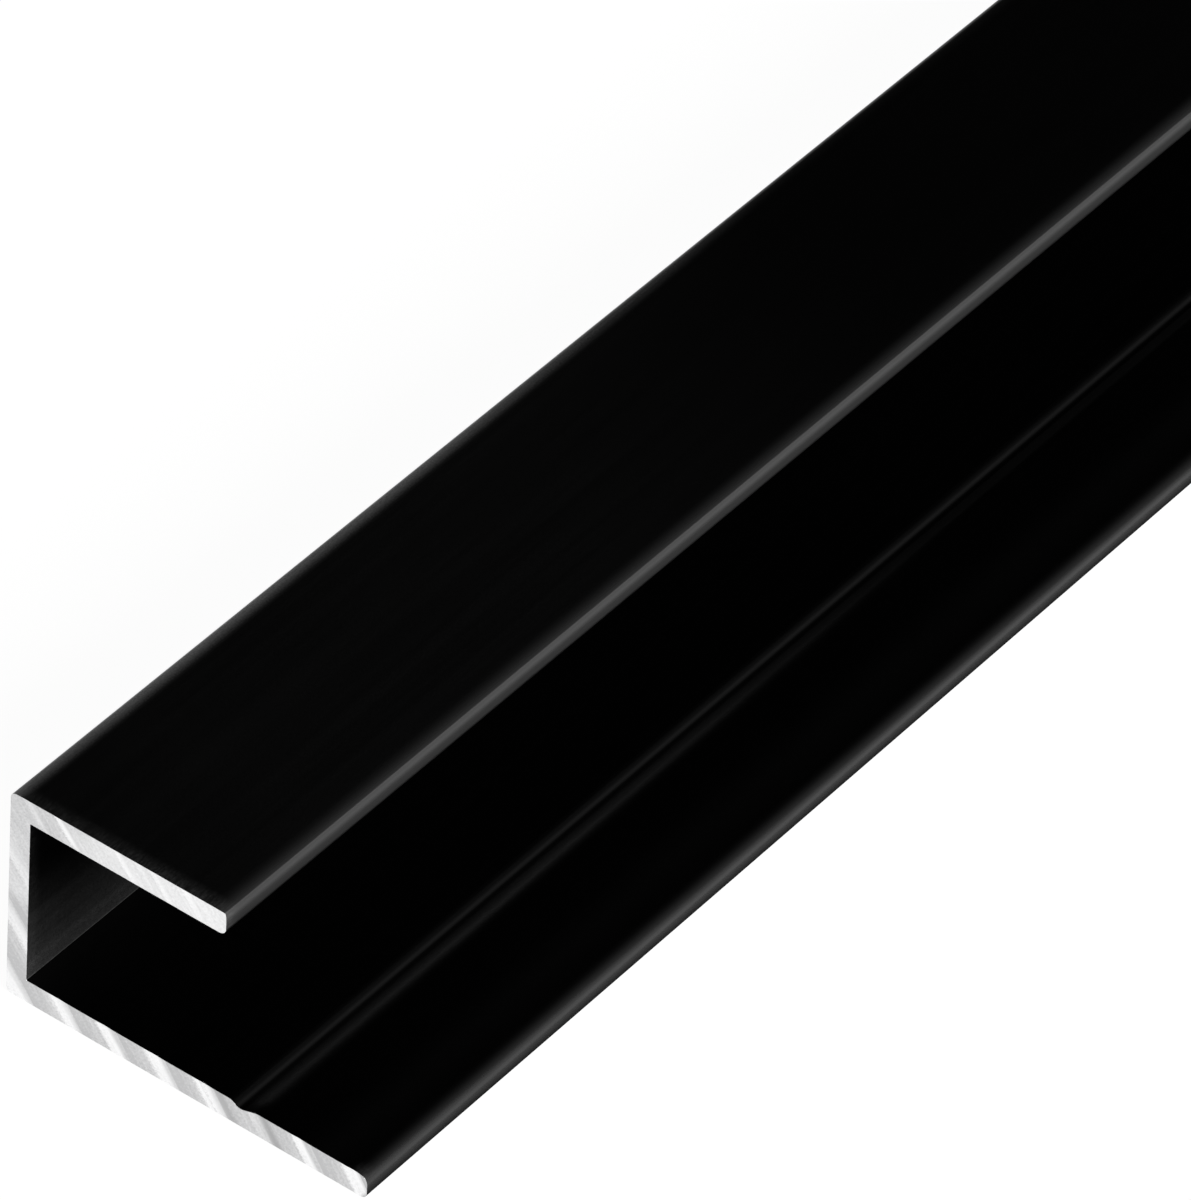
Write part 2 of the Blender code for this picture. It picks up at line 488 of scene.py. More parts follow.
def closed_prism(name, near, rings, far, materials):
    """A closed solid: a near face, the rings that carry its border along the length, and a far face.

    Both faces are grids over the section with the same stations. The first material is for the near
    face, and the last one for the rest.
    """
    stations, across = near.shape[:2]
    rim = rim_of(stations, across)
    count = stations * across
    points = np.vstack([near.reshape(-1, 3), rings.reshape(-1, 3), far.reshape(-1, 3)])
    last = len(points) - count
    carried = count + np.arange(rings.shape[0] * len(rim)).reshape(rings.shape[0], len(rim))
    ladder = np.vstack([rim, carried, last + rim])
    cap = grid_quads(stations, across)
    sides = [ring_quads(low, high) for low, high in zip(ladder, ladder[1:])]
    faces = np.vstack([cap, *sides, last + cap[:, ::-1]])
    finish = np.full(len(faces), len(materials) - 1, np.int32)
    finish[:len(cap)] = 0

    mesh = bpy.data.meshes.new(name)
    mesh.from_pydata(points.tolist(), [], faces.tolist())
    for material in materials:
        mesh.materials.append(material)
    mesh.polygons.foreach_set("material_index", finish)
    mesh.polygons.foreach_set("use_smooth", np.ones(len(faces), bool))
    mesh.update()
    mesh.set_sharp_from_angle(angle=SHARP_ANGLE)
    return placed(name, mesh)


def border_distance(points, border):
    """Distance from each point to the closest stretch of a closed border."""
    step = np.roll(border, -1, axis=0) - border
    offset = points[:, None] - border
    share = np.clip((offset * step).sum(-1) / np.maximum((step * step).sum(-1), FINE ** 2), 0.0, 1.0)
    return np.linalg.norm(offset - share[..., None] * step, axis=-1).min(axis=1)


def marks_passed(points, sawn):
    """How many tooth marks the saw had left when its blade reached each point of the section.

    The blade's edge is a circle about the axle, and the axle moves on by one feed a mark. The count k
    solves |point - axle - k feed| = blade, a quadratic in k, of which the lower root is taken.
    """
    feed = np.array(sawn.feed)
    spoke = points - np.array(sawn.axle)
    square, along = feed @ feed, spoke @ feed
    beyond = (spoke * spoke).sum(-1) - sawn.blade ** 2
    return (along - np.sqrt(np.maximum(along ** 2 - square * beyond, 0.0))) / square


def saw_relief(points, sawn):
    """Depth of the sawn face below its plane: a slope from each tooth mark to the next, with ripples.

    The slope is the fraction of the count of marks, and the ripple a sine of eleven turns a mark whose
    phase itself swings.
    """
    count = marks_passed(points, sawn)
    slope = count - np.floor(count)
    turns = 2.0 * np.pi * count
    ripple = 0.5 + 0.5 * np.sin(RIPPLES * turns + RIPPLE_SWING * np.sin(SWINGS * turns))
    return sawn.relief * (SLOPE_SHARE * slope + (1.0 - SLOPE_SHARE) * ripple)


def burr_lift(points, sawn):
    """Height of the nubs on the long leg's upper edge: a bell curve at each tooth mark.

    It fades with the sixth power of the height within the leg.
    """
    count = marks_passed(points, sawn)
    nubs = sum(strength * np.exp(-((count - place - NUB_LAG) / NUB_WIDTH) ** 2)
               for place, width, strength in TOOTH_MARKS)
    on_leg = (points[..., 1] < LEG_WALL + FINE) & (points[..., 0] > WEB_WALL + NUBS_FROM)
    height = np.clip(points[..., 1] / LEG_WALL, 0.0, 1.0)
    return on_leg * sawn.burr * np.minimum(nubs, 1.0) * height ** NUB_RISE


def sawn_slice(name, far_end, materials):
    """A closed slice with the sawn face outside: P(u, v) over the wall, set back by relief and edge round.

    The rows across the wall bunch towards its borders by a sine. The slice at the far end is the near
    one mirrored along the length, with its faces turned round.
    """
    settings = bpy.context.scene
    section, sawn = settings.channel_section, settings.sawn_finish
    outer, inner = wall_paths(section)
    share = np.linspace(0.0, 1.0, ROWS_ACROSS)
    across = share - BUNCHING * np.sin(2.0 * np.pi * share) / (2.0 * np.pi)
    grid = wall_grid(outer, inner, across)
    shape = grid.shape[:2]
    flat = grid.reshape(-1, 2)
    rim = rim_of(*shape)

    inset = np.minimum(border_distance(flat, flat[rim]), sawn.edge_round)
    rounded = sawn.edge_round - np.sqrt(sawn.edge_round ** 2 - (sawn.edge_round - inset) ** 2)
    depth = rounded + saw_relief(flat, sawn)
    lift = burr_lift(flat, sawn)
    up = np.array([0.0, 1.0])
    near = lengthwise(flat + lift[:, None] * up, LOW[1] + depth).reshape(*shape, 3)
    back = sawn.slice * np.array(RINGS_BACK)
    fade = np.exp(-((back / NUB_FADE) ** 2))
    lifted = flat[rim] + fade[:, None, None] * lift[rim][:, None] * up
    rings = lengthwise(lifted, LOW[1] + back[:, None])
    far = lengthwise(grid, LOW[1] + sawn.slice)
    piece = closed_prism(name, near, rings, far, materials)
    if far_end:
        piece.data.transform(Matrix.Scale(-1.0, 4, Vector((0.0, 1.0, 0.0))))
        piece.data.flip_normals()
    return piece


def grown(values, none_at, full_at, power=1.0):
    """A share that goes evenly from none at one value to full at another, raised to a power."""
    return np.clip((values - none_at) / (full_at - none_at), 0.0, 1.0) ** power


def mark_wear_and_painted_light(piece):
    """Give a piece four numbers a point: how much rougher its film is rubbed, how much painted highlight
    and sheen it gets, most near the ends, how much painted highlight it gets all along, and how frayed the
    film is behind the saw cut.

    An arris rubs by a share that falls evenly from one to none at its reach. The roughness follows the
    share and the painted highlight its square, and where two arrises reach a point the greater counts. The
    outer faces get a little painted sheen all over, the slot's seat painted light that fades with height,
    and the groove's sides painted highlights in two bell curves. The outer faces, the seat and the toe's
    upper round are frayed.
    """
    settings = bpy.context.scene
    section, finish = settings.channel_section, settings.anodised_finish
    places = np.empty(3 * len(piece.data.vertices))
    piece.data.vertices.foreach_get("co", places)
    across, along, up = (places.reshape(-1, 3) - (LOW[0], 0.0, LOW[2])).T
    from_end = HIGH[1] - abs(along)

    lip = (up > HEIGHT - LIP_FACE[1]) & (across > SHORT_LEG - LIP_FACE[0])
    outside = (up > HEIGHT - ON_FACE) | (up < ON_FACE) | (across < ON_FACE) | lip
    seat = (abs(across - WEB_WALL) < ON_FACE) & (up > LEG_WALL) & (up < HEIGHT - LEG_WALL)
    # painted light on the seat: lighter low down and behind the saw cut
    seat_painted_mask = seat * grown(up, *SEAT_LIGHT_BY_HEIGHT)
    seat_painted_mask = seat_painted_mask * (1.0 + SEAT_CUT_MORE * grown(from_end, *SEAT_CUT))
    leg_face = (up > LEG_WALL / 2.0) & (up < LEG_WALL + ON_FACE)
    # painted highlight bands on the groove's inner and outer sides
    inner, outer = (np.exp(-((across - SHORT_LEG - middle) / half) ** 2) * leg_face
                    for middle, half in (section.inner_highlight_band, section.outer_highlight_band))
    outer = outer * grown(from_end, *GROOVE_START)
    outer = outer * (1.0 - GROOVE_LOSS * grown(from_end, *GROOVE_FADE))

    on_short = up > 2.0 * LEG_WALL
    leg_end = np.where(on_short, SHORT_LEG, LONG_LEG)
    rubbed = np.where(on_short, SHORT_LEG_RUB, LONG_LEG_RUB) * grown(across, leg_end - LEG_END_RUB, leg_end)
    # painted sheen on the outer faces and painted light on the seat, shown as paler film
    bare = outside * finish.outer_painted_sheen + seat_painted_mask * finish.seat_painted_light
    bare = np.maximum(bare, outer * finish.groove_painted_highlight)
    even = inner * finish.inner_painted_highlight
    # painted highlights on the arrises: paler film where the rounds catch the light
    for place, height, reach, rougher, highlight_reach, even_highlight, end_highlight in EDGE_RUBS_AND_HIGHLIGHTS:
        away = np.hypot(across - place, up - height)
        rubbed = np.maximum(rubbed, rougher * grown(away, reach, 0.0))
        share = grown(away, highlight_reach, 0.0, 2.0)
        even = np.maximum(even, even_highlight * np.minimum(share, EVEN_HIGHLIGHT_MOST))
        bare = np.maximum(bare, end_highlight * share)

    frayed = (outside | seat) * (HEEL_FRAY + (1.0 - HEEL_FRAY) * grown(across, *LIP_FRAY))
    toe = (up > LEG_WALL - TOE_ROUND) & (up < LEG_WALL + ON_FACE)
    toe = toe * grown(across, *(LONG_LEG - start for start in TOE_FRAY))
    frayed = frayed + TOE_FRAYED * toe
    # bare and even carry the painted highlights, sheen and seat light; frayed is the fray at the cut
    for name, values in (("rubbed", rubbed), ("bare", bare), ("even", even), ("frayed", frayed)):
        piece.data.attributes.new(name, "FLOAT", "POINT").data.foreach_set("value", values)


def dress(piece):
    """Mark a piece's wear and painted light, say which body it rides on, and hide the CAD node it stands
    for.
    """
    mark_wear_and_painted_light(piece)
    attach(piece, BODY)
    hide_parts(NODE)


# Materials

LINE_SATIN = 0.04  # how far the die lines change the film's roughness
DYE_SPECKLE, DYE_LINES = (0.45, 0.75), (0.4, 0.7)  # levels of the grain between which the dye thins
SHEEN_END_FADE = 0.3  # the painted sheen fades over this share of its length at the end, to both sides
FRAY_REACH = (1.1, 0.15)  # millimetres from the end where the fray starts and where it is full
FILM_SPECKLE, METAL_SPECKLE = 0.25, 0.4  # height of the speckle beside that of the lines
METAL_GRAIN = 0.003 * MM  # depth of the sawn metal's grain
BURNISHED_GLOSS = -0.1  # how far burnishing changes the metal's roughness


def place_node(tree, kind, inputs=None, **settings):
    """A new node with its settings, and its inputs linked or set by name or number."""
    node = tree.nodes.new("ShaderNode" + kind)
    for name, value in settings.items():
        setattr(node, name, value)
    for name, value in (inputs or {}).items():
        if isinstance(value, bpy.types.NodeSocket):
            tree.links.new(value, node.inputs[name])
        else:
            node.inputs[name].default_value = value
    return node


def reckon(tree, operation, *values):
    """The result of a Math node."""
    return place_node(tree, "Math", dict(enumerate(values)), operation=operation).outputs[0]


def ramp(tree, value, start, end, low=0.0, high=1.0, interpolation="SMOOTHSTEP"):
    """A value carried from low to high, smoothly unless told otherwise, as it goes from start to end."""
    inputs = {"Value": value, "From Min": start, "From Max": end, "To Min": low, "To Max": high}
    node = place_node(tree, "MapRange", inputs, interpolation_type=interpolation)
    return node.outputs["Result"]


def varied(tree, value, noise, spread, change):
    """A value made less or greater by a share, as a noise goes from its middle's one side to the other."""
    factor = ramp(tree, noise, 0.5 - spread, 0.5 + spread, 1.0 - change, 1.0 + change)
    return reckon(tree, "MULTIPLY", value, factor)


def blended(tree, share, first, second):
    """Two colours mixed by a share."""
    node = place_node(tree, "Mix", {0: share, 6: first, 7: second}, data_type="RGBA")
    return node.outputs[2]


def opaque(colour):
    """A colour as four numbers."""
    return (*colour, 1.0)


def grain_group():
    """The grain that drawing and sawing both leave: lines along the vector's Y, and an even speckle.

    The lines are noise pulled out along Y, and the speckle is noise of its own scale.
    """
    tree = bpy.data.node_groups.new("metal grain", "ShaderNodeTree")
    for name, kind in (("Vector", "NodeSocketVector"), ("Line Scale", "NodeSocketFloat"),
                       ("Line Stretch", "NodeSocketFloat"), ("Speckle Scale", "NodeSocketFloat")):
        tree.interface.new_socket(name, in_out="INPUT", socket_type=kind)
    for name in ("Lines", "Speckle"):
        tree.interface.new_socket(name, in_out="OUTPUT", socket_type="NodeSocketFloat")
    given = tree.nodes.new("NodeGroupInput").outputs
    result = tree.nodes.new("NodeGroupOutput").inputs
    pull = place_node(tree, "CombineXYZ",
                      {"X": 1.0, "Y": reckon(tree, "DIVIDE", 1.0, given["Line Stretch"]), "Z": 1.0})
    pulled = place_node(tree, "VectorMath", {0: given["Vector"], 1: pull.outputs[0]},
                        operation="MULTIPLY")
    lines = place_node(tree, "TexNoise",
                       {"Vector": pulled.outputs[0], "Scale": given["Line Scale"], "Detail": 4.0,
                        "Roughness": 0.6})
    speckle = place_node(tree, "TexNoise",
                         {"Vector": given["Vector"], "Scale": given["Speckle Scale"], "Detail": 3.0,
                          "Roughness": 0.65})
    tree.links.new(lines.outputs["Fac"], result["Lines"])
    tree.links.new(speckle.outputs["Fac"], result["Speckle"])
    return tree


def grain(tree, vector, line_scale, stretch, speckle_scale):
    """The grain group placed in a material with its own values, as its lines and its speckle."""
    inputs = {"Vector": vector, "Line Scale": line_scale, "Line Stretch": stretch,
              "Speckle Scale": speckle_scale}
    group = bpy.data.node_groups.get("metal grain") or grain_group()
    node = place_node(tree, "Group", inputs, node_tree=group)
    return node.outputs["Lines"], node.outputs["Speckle"]


def new_material(name):
    """An empty material with its shader, as (material, tree, shader)."""
    material = bpy.data.materials.new(name)
    material.use_nodes = True
    return material, material.node_tree, material.node_tree.nodes["Principled BSDF"]


def attribute(tree, name):
    """A number that the piece carries at each point."""
    return place_node(tree, "Attribute", attribute_name=name).outputs["Fac"]


def object_place(tree, scale, start=(0.0, 0.0, 0.0)):
    """The place on the object as a vector: its own coordinates, scaled and then moved."""
    coordinates = tree.nodes.new("ShaderNodeTexCoord").outputs["Object"]
    inputs = {"Vector": coordinates, "Location": start, "Scale": scale}
    return place_node(tree, "Mapping", inputs).outputs[0]


def anodised_material():
    """Dyed oxide film: nearly black, satin, with faint die lines along the length.

    It is rougher where it is rubbed, paler where painted highlights and painted sheen stand in for light on
    the arrises, the groove, the seat and the outer faces, and paler where metal shows in the fray behind
    the saw cut. Most of the painted highlights and sheen are strongest near the ends, in long streaks and
    patches, and the fray shows in short hairs and dots. The lines and the speckle leave the dye a little
    thinner.
    """
    material = bpy.data.materials.get("black anodised film")
    if material:
        return material
    finish = bpy.context.scene.anodised_finish
    material, tree, shader = new_material("black anodised film")
    place = object_place(tree, (1.0 / MM, 1.0 / MM, 1.0 / MM))
    lines, speckle = grain(tree, place, line_scale=2.2, stretch=120.0, speckle_scale=9.0)
    streaks, patches = grain(tree, place, line_scale=1.1, stretch=40.0, speckle_scale=0.05)
    hairs, dots = grain(tree, place, line_scale=9.0, stretch=7.0, speckle_scale=4.0)

    rougher = finish.rubbed_roughness - finish.roughness
    satin = reckon(tree, "MULTIPLY_ADD", attribute(tree, "rubbed"), rougher, finish.roughness)
    uneven = reckon(tree, "MULTIPLY_ADD", lines, 2.0 * LINE_SATIN, -LINE_SATIN)
    tree.links.new(reckon(tree, "ADD", satin, uneven), shader.inputs["Roughness"])

    taken = reckon(tree, "MULTIPLY", ramp(tree, speckle, *DYE_SPECKLE), ramp(tree, lines, *DYE_LINES))
    film = blended(tree, taken, opaque(finish.colour), opaque(finish.bloom))
    along = place_node(tree, "SeparateXYZ", {0: place}).outputs["Y"]
    along = reckon(tree, "ABSOLUTE", along)
    # painted highlights and sheen, strongest near each end and varied in streaks and patches
    end, sheen_reach = HIGH[1] / MM, finish.sheen_end / MM
    sheen_by_end = ramp(tree, along, end - (1.0 + SHEEN_END_FADE) * sheen_reach, end - (1.0 - SHEEN_END_FADE) * sheen_reach,
                   finish.far_sheen_share, 1.0)
    for noise, spread, change in ((patches, 0.2, 0.1), (streaks, 0.2, 0.25), (speckle, 0.15, 0.25)):
        sheen_by_end = varied(tree, sheen_by_end, noise, spread, change)
    # painted highlights and sheen on the arrises, groove, seat and outer faces, shown as paler film
    bare = reckon(tree, "MULTIPLY_ADD", attribute(tree, "bare"), sheen_by_end, attribute(tree, "even"))
    near_cut = ramp(tree, along, end - FRAY_REACH[0], end - FRAY_REACH[1], 0.0, finish.frayed)
    frayed = reckon(tree, "MULTIPLY", attribute(tree, "frayed"), near_cut)
    for noise, spread, change in ((hairs, 0.15, 0.55), (dots, 0.15, 0.3)):
        frayed = varied(tree, frayed, noise, spread, change)
    bare = reckon(tree, "ADD", bare, frayed)
    # paler film: painted highlights and sheen, and the real fray behind the saw cut
    tree.links.new(blended(tree, bare, film, opaque(finish.sheen_and_fray)), shader.inputs["Base Color"])
    height = reckon(tree, "MULTIPLY_ADD", speckle, FILM_SPECKLE, lines)
    bump = place_node(tree, "Bump", {"Height": height, "Distance": finish.line_depth})
    tree.links.new(bump.outputs[0], shader.inputs["Normal"])
    shader.inputs["Metallic"].default_value = 0.0
    shader.inputs["Specular IOR Level"].default_value = finish.specular
    return material


def tooth_streaks(tree, count, marks):
    """Strength of the streaks for a count of marks, as a ramp of greys read at the count.

    Each streak rises and falls at crisp edges and is strongest just past its middle.
    """
    low, high = marks[0][0] - BEFORE_FIRST, marks[-1][0] + PAST_LAST
    node = tree.nodes.new("ShaderNodeValToRGB")
    stops = node.color_ramp.elements
    stops.remove(stops[1])
    profile = [(place + offset * width, strength * level) for place, width, strength in marks
               for offset, level in STREAK_SHAPE]
    for number, (place, level) in enumerate(profile):
        share = (place - low) / (high - low)
        stop = stops.new(share) if number else stops[0]
        stop.position = share
        stop.color = (level, level, level, 1.0)
    share = reckon(tree, "DIVIDE", reckon(tree, "SUBTRACT", count, low), high - low)
    tree.links.new(share, node.inputs[0])
    return node.outputs["Color"]


def sawn_material():
    """Bare aluminium scraped by a circular saw.

    The count of tooth marks is worked out in nodes as marks_passed does: the lower root of the quadratic
    for the blade's edge. Bright streaks follow the marks and fade up the web, where they lag behind the
    count, and the metal gets slowly brighter from each mark to the next. The upper web and the short leg,
    which the blade left last, are painted brighter, standing in for brighter reflections higher up the
    face, and brighter still towards the lip. A fine grain follows the blade's edge.
    """
    finish = bpy.context.scene.sawn_finish
    material, tree, shader = new_material("sawn aluminium")
    place = object_place(tree, (1.0 / MM, 0.0, 1.0 / MM), (-LOW[0] / MM, 0.0, -LOW[2] / MM))
    axle = (finish.axle[0] / MM, 0.0, finish.axle[1] / MM)
    feed = (finish.feed[0] / MM, 0.0, finish.feed[1] / MM)
    blade, square = finish.blade / MM, feed[0] ** 2 + feed[2] ** 2
    spoke = place_node(tree, "VectorMath", {0: place, 1: axle}, operation="SUBTRACT").outputs[0]
    along = place_node(tree, "VectorMath", {0: spoke, 1: feed}, operation="DOT_PRODUCT")
    along = along.outputs["Value"]
    beyond = place_node(tree, "VectorMath", {0: spoke, 1: spoke}, operation="DOT_PRODUCT")
    beyond = reckon(tree, "MULTIPLY_ADD", beyond.outputs["Value"], square, -square * blade ** 2)
    root = reckon(tree, "SQRT", reckon(tree, "SUBTRACT", reckon(tree, "POWER", along, 2.0), beyond))
    count = reckon(tree, "DIVIDE", reckon(tree, "SUBTRACT", along, root), square)

    parts = place_node(tree, "SeparateXYZ", {0: spoke})
    turn = reckon(tree, "ARCTAN2", parts.outputs["Z"], parts.outputs["X"])
    passed, around = reckon(tree, "MULTIPLY", count, feed[0]), reckon(tree, "MULTIPLY", turn, blade)
    cut = place_node(tree, "CombineXYZ", {"X": passed, "Y": around})
    lines, speckle = grain(tree, cut.outputs[0], line_scale=4.0, stretch=12.0, speckle_scale=7.0)
    wavy = reckon(tree, "ADD", count, reckon(tree, "MULTIPLY_ADD", speckle, 2.0 * WAVER, -WAVER))

    corner = place_node(tree, "SeparateXYZ", {0: place})
    across, up = corner.outputs["X"], corner.outputs["Z"]
    on_short = ramp(tree, up, *SHORT_LEG_FROM)
    lag = reckon(tree, "ADD", ramp(tree, up, *LAG_ABOVE), ramp(tree, up, *LAG_AT_FOOT))
    lagging = reckon(tree, "SUBTRACT", wavy, lag)
    streak = tooth_streaks(tree, lagging, TOOTH_MARKS)
    streak = reckon(tree, "MULTIPLY", streak, ramp(tree, up, *MARKS_FADE))
    past = reckon(tree, "FRACT", reckon(tree, "SUBTRACT", count, BETWEEN_START))
    past = reckon(tree, "MINIMUM", past, BETWEEN_STOP)
    rise = reckon(tree, "MULTIPLY_ADD", past, BETWEEN_SLOPE, BETWEEN_LEAST)
    rise = reckon(tree, "MULTIPLY", rise, ramp(tree, up, *BETWEEN_FADES))
    dull = reckon(tree, "MULTIPLY", tooth_streaks(tree, lagging, DULL_BANDS), ramp(tree, up, *DULL_FADES))
    early = reckon(tree, "SUBTRACT", reckon(tree, "ADD", streak, rise), dull)
    early = reckon(tree, "MULTIPLY", early, reckon(tree, "SUBTRACT", 1.0, on_short))

    own = tooth_streaks(tree, wavy, SHORT_LEG_MARKS)
    own = reckon(tree, "MULTIPLY", own, ramp(tree, up, *SHORT_LEG_MARKS_FADE))
    # painted brightening of the short leg, growing towards the lip
    painted_lift = reckon(tree, "ADD", ramp(tree, across, *PAINTED_LIFT_NEAR),
                   ramp(tree, across, *PAINTED_LIFT_FAR, interpolation="LINEAR"))
    late = reckon(tree, "MULTIPLY", reckon(tree, "ADD", own, painted_lift), on_short)

    # painted brightening of the upper web, standing in for brighter reflections higher up
    tone = reckon(tree, "ADD", ramp(tree, up, *UPPER_WEB), ramp(tree, up, *OVER_SLOT))
    tone = reckon(tree, "ADD", reckon(tree, "ADD", tone, early), late)
    tone = reckon(tree, "MINIMUM", tone, STREAK_MOST)
    tone = reckon(tree, "ADD", tone, ramp(tree, lines, *LINE_LEVELS, -LINE_TONE, LINE_TONE))
    dots = reckon(tree, "MULTIPLY_ADD", speckle, 2.0 * SPECKLE_TONE, -SPECKLE_TONE)
    tone = reckon(tree, "MINIMUM", reckon(tree, "ADD", tone, dots), 1.0)
    tone = reckon(tree, "MAXIMUM", tone, DULLEST)
    scraped = blended(tree, dull, opaque(finish.colour), opaque((0.0, 0.0, 0.0)))
    tree.links.new(blended(tree, tone, scraped, opaque(finish.bright)), shader.inputs["Base Color"])
    rough = reckon(tree, "MULTIPLY_ADD", tone, BURNISHED_GLOSS, finish.roughness)
    tree.links.new(rough, shader.inputs["Roughness"])
    height = reckon(tree, "MULTIPLY_ADD", speckle, METAL_SPECKLE, lines)
    bump = place_node(tree, "Bump", {"Height": height, "Distance": METAL_GRAIN})
    tree.links.new(bump.outputs[0], shader.inputs["Normal"])
    shader.inputs["Metallic"].default_value = 1.0
    return material


# Studio

TABLE_GLOW, TABLE_PAINT = 0.97, (0.07, 0.07, 0.07)  # as it is seen, and as light falls on it
TABLE_GAP = 0.02 * MM  # below the channel
TOE_MARGIN = 0.5 * MM  # the shade beside the toe starts this far under it
TOE_SHADE, TOE_OPENNESS = 2.5 * MM, (0.6, 0.96)  # its reach, and the openness where it is full and ends
LAMP_WAY, LAMP_DISTANCE, LAMP_SIZE = (0.85, -0.1, 0.52), 6.0, (5.0, 3.4)


def floor_material():
    """White table that the camera and reflections see nearly at full white, under the object's shadow.

    Reflections see it darken where it meets the long leg's toe.
    """
    material, tree, shader = new_material("white table")
    tree.nodes.remove(shader)
    path = tree.nodes.new("ShaderNodeLightPath")
    coordinates = tree.nodes.new("ShaderNodeTexCoord")
    place = place_node(tree, "SeparateXYZ", {0: coordinates.outputs["Object"]})
    beside = ramp(tree, place.outputs["X"], HIGH[0] - TOE_MARGIN, HIGH[0])
    openness = place_node(tree, "AmbientOcclusion", {"Distance": TOE_SHADE}, samples=12)
    closed = ramp(tree, openness.outputs["AO"], *TOE_OPENNESS, 1.0, 0.0)
    mirrored = reckon(tree, "SUBTRACT", path.outputs["Is Glossy Ray"],
                      reckon(tree, "MULTIPLY", beside, closed))
    seen = reckon(tree, "MAXIMUM", path.outputs["Is Camera Ray"], mirrored)
    seen = reckon(tree, "MAXIMUM", seen, path.outputs["Is Transmission Ray"])
    glow = place_node(tree, "Emission", {"Strength": reckon(tree, "MULTIPLY", seen, TABLE_GLOW)})
    paint = place_node(tree, "BsdfDiffuse", {"Color": opaque(TABLE_PAINT)})
    both = place_node(tree, "AddShader", {0: glow.outputs[0], 1: paint.outputs[0]})
    tree.links.new(both.outputs[0], tree.nodes["Material Output"].inputs["Surface"])
    return material


def soft_lamp(name, direction, distance, width, height, brightness):
    """A lamp of width by height that faces the object. Its power is brightness times pi times its area."""
    data = bpy.data.lights.new(name, "AREA")
    data.shape = "RECTANGLE"
    data.size = width
    data.size_y = height
    data.energy = brightness * math.pi * width * height
    lamp = placed(name, data)
    way = Vector(direction).normalized()
    lamp.location = way * distance
    lamp.rotation_euler = way.to_track_quat("Z", "Y").to_euler()
    lamp.visible_camera = False
    return lamp


def studio_world(studio):
    """White walls up to a low elevation, fading to a dark ceiling. The direction's Z is the sine of it."""
    world = bpy.data.worlds.new("studio walls")
    world.use_nodes = True
    tree = world.node_tree
    coordinates = tree.nodes.new("ShaderNodeTexCoord")
    upward = place_node(tree, "SeparateXYZ", {0: coordinates.outputs["Generated"]}).outputs["Z"]
    light = ramp(tree, upward, math.sin(studio.wall_top), math.sin(studio.ceiling_edge),
                 studio.horizon, studio.ceiling)
    background = tree.nodes["Background"]
    tree.links.new(light, background.inputs["Strength"])
    background.inputs["Color"].default_value = (1.0, 1.0, 1.0, 1.0)
    return world


def studio_camera(studio):
    """The camera of the photograph, from its angles, distance and roll about the line of sight."""
    data = bpy.data.cameras.new("camera")
    data.sensor_width = 36.0
    data.lens = studio.lens
    data.clip_start = 0.01
    data.clip_end = 200.0
    camera = placed("camera", data)
    turn, rise = studio.azimuth, studio.elevation
    back = Vector((math.sin(turn) * math.cos(rise), -math.cos(turn) * math.cos(rise), math.sin(rise)))
    level = Vector((math.cos(turn), math.sin(turn), 0.0))
    right = math.cos(studio.roll) * level + math.sin(studio.roll) * back.cross(level)
    axes = Matrix((right, back.cross(right), back)).transposed().to_4x4()
    aim = Vector(LOW) + Vector(studio.aim)
    camera.matrix_world = Matrix.Translation(aim + back * studio.distance) @ axes
    return camera


# Operators

class CHANNEL_OT_anodised_length(bpy.types.Operator):
    """Carry the section along the length as one closed, anodised skin"""

    bl_idname = "channel.anodised_length"
    bl_label = "Anodised length"

    def execute(self, context):
        scene = context.scene
        outer, inner = wall_paths(scene.channel_section)
        grid = wall_grid(outer, inner, np.array([0.0, 1.0]))
        rim = grid.reshape(-1, 2)[rim_of(*grid.shape[:2])]
        start, end = LOW[1] + scene.sawn_finish.slice, HIGH[1] - scene.sawn_finish.slice
        rows = start + (end - start) * (0.5 - 0.5 * np.cos(np.linspace(0.0, np.pi, ROWS_ALONG)))
        rings = lengthwise(np.broadcast_to(rim, (len(rows) - 2, *rim.shape)), rows[1:-1, None])
        piece = closed_prism("anodised_length", lengthwise(grid, start), rings, lengthwise(grid, end),
                             [anodised_material()])
        dress(piece)
        return {"FINISHED"}


class CHANNEL_OT_sawn_ends(bpy.types.Operator):
    """Close both ends with a slice that shows bare metal and tooth marks"""

    bl_idname = "channel.sawn_ends"
    bl_label = "Sawn ends"

    def execute(self, context):
        materials = [sawn_material(), anodised_material()]
        for name, far_end in (("sawn_end_near", False), ("sawn_end_far", True)):
            dress(sawn_slice(name, far_end, materials))
        return {"FINISHED"}


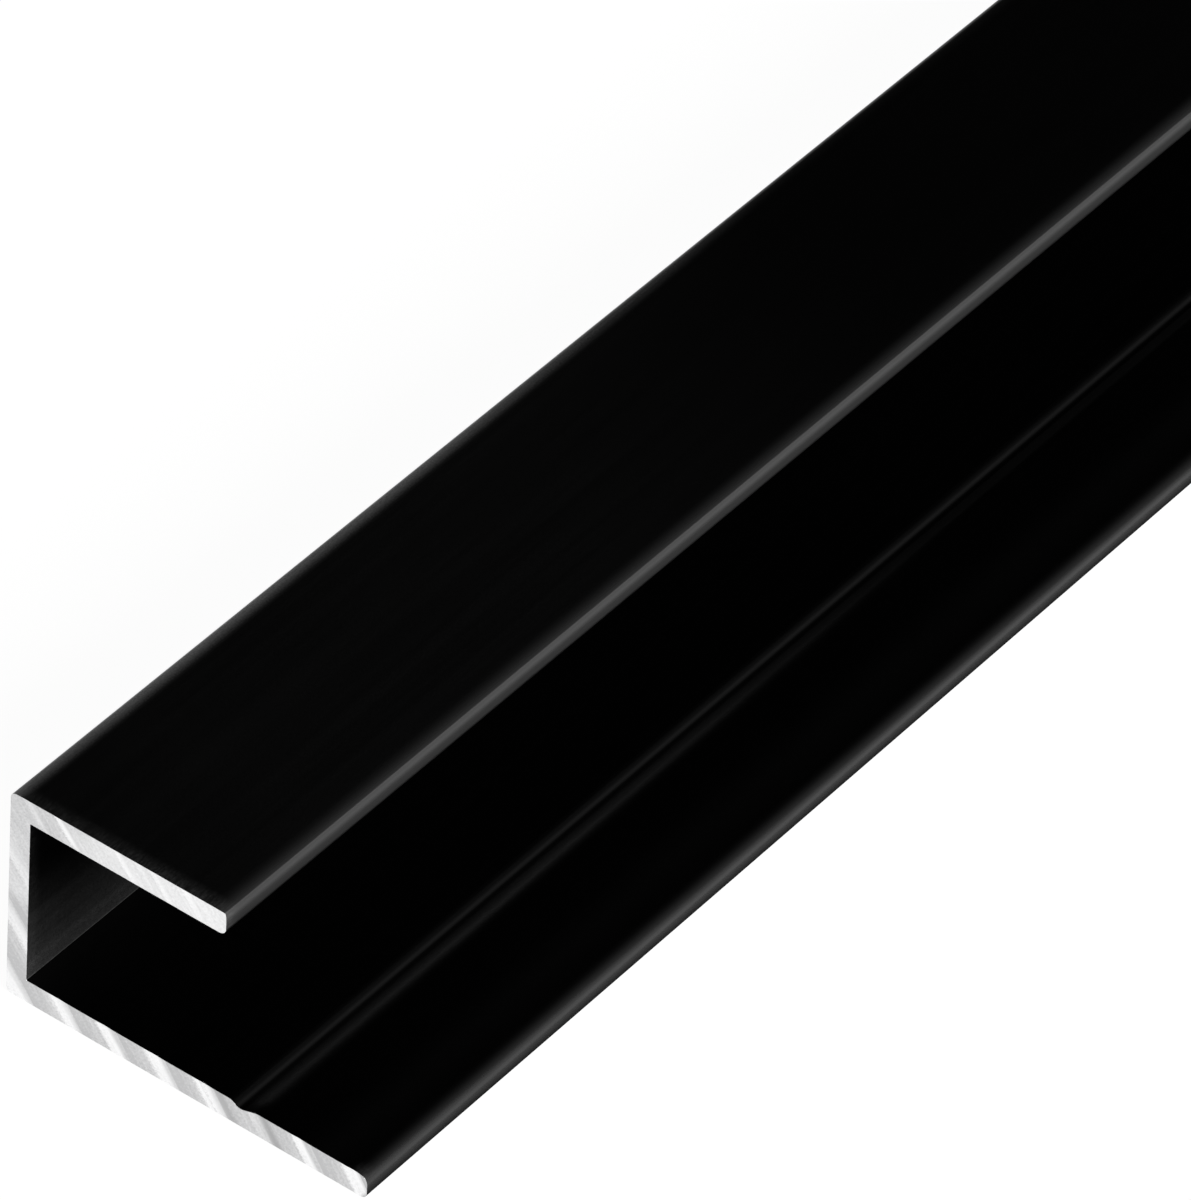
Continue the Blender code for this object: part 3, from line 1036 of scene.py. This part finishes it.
class CHANNEL_OT_studio(bpy.types.Operator):
    """Set the channel on a white table, with soft light and the photograph's camera"""

    bl_idname = "channel.studio"
    bl_label = "Studio"

    def execute(self, context):
        scene = context.scene
        studio = scene.studio_settings
        half = studio.floor_half
        mesh = bpy.data.meshes.new("table")
        corners = [(-half, -half), (half, -half), (half, half), (-half, half)]
        mesh.from_pydata([(x, y, LOW[2] - TABLE_GAP) for x, y in corners], [], [(0, 1, 2, 3)])
        mesh.materials.append(floor_material())
        placed("table", mesh)
        soft_lamp("key lamp", LAMP_WAY, LAMP_DISTANCE, *LAMP_SIZE, studio.key)
        scene.world = studio_world(studio)
        scene.camera = studio_camera(studio)
        scene.view_settings.view_transform = "Standard"
        return {"FINISHED"}


class CHANNEL_PT_panel(bpy.types.Panel):
    """Lists the steps that dress the channel, and what each may be given"""

    bl_idname = "CHANNEL_PT_panel"
    bl_label = "Channel"
    bl_space_type = "VIEW_3D"
    bl_region_type = "UI"
    bl_category = "Channel"

    def draw(self, context):
        for name, group in SETTINGS.items():
            box = self.layout.box()
            settings = getattr(context.scene, name)
            for field in group.__annotations__:
                box.prop(settings, field)
        for operator in OPERATORS:
            self.layout.operator(operator.bl_idname)


SETTINGS = {
    "channel_section": ChannelSection,
    "anodised_finish": AnodisedFinish,
    "sawn_finish": SawnFinish,
    "studio_settings": StudioSettings,
}
OPERATORS = (CHANNEL_OT_anodised_length, CHANNEL_OT_sawn_ends, CHANNEL_OT_studio)


def register():
    for name, settings in SETTINGS.items():
        bpy.utils.register_class(settings)
        setattr(bpy.types.Scene, name, PointerProperty(type=settings))
    for part in (*OPERATORS, CHANNEL_PT_panel):
        bpy.utils.register_class(part)


def unregister():
    for part in (CHANNEL_PT_panel, *OPERATORS):
        bpy.utils.unregister_class(part)
    for name, settings in SETTINGS.items():
        delattr(bpy.types.Scene, name)
        bpy.utils.unregister_class(settings)


def main():
    """Dress the channel step by step."""
    register()
    bpy.ops.channel.anodised_length()
    bpy.ops.channel.sawn_ends()
    bpy.ops.channel.studio()


if __name__ == "__main__":
    main()
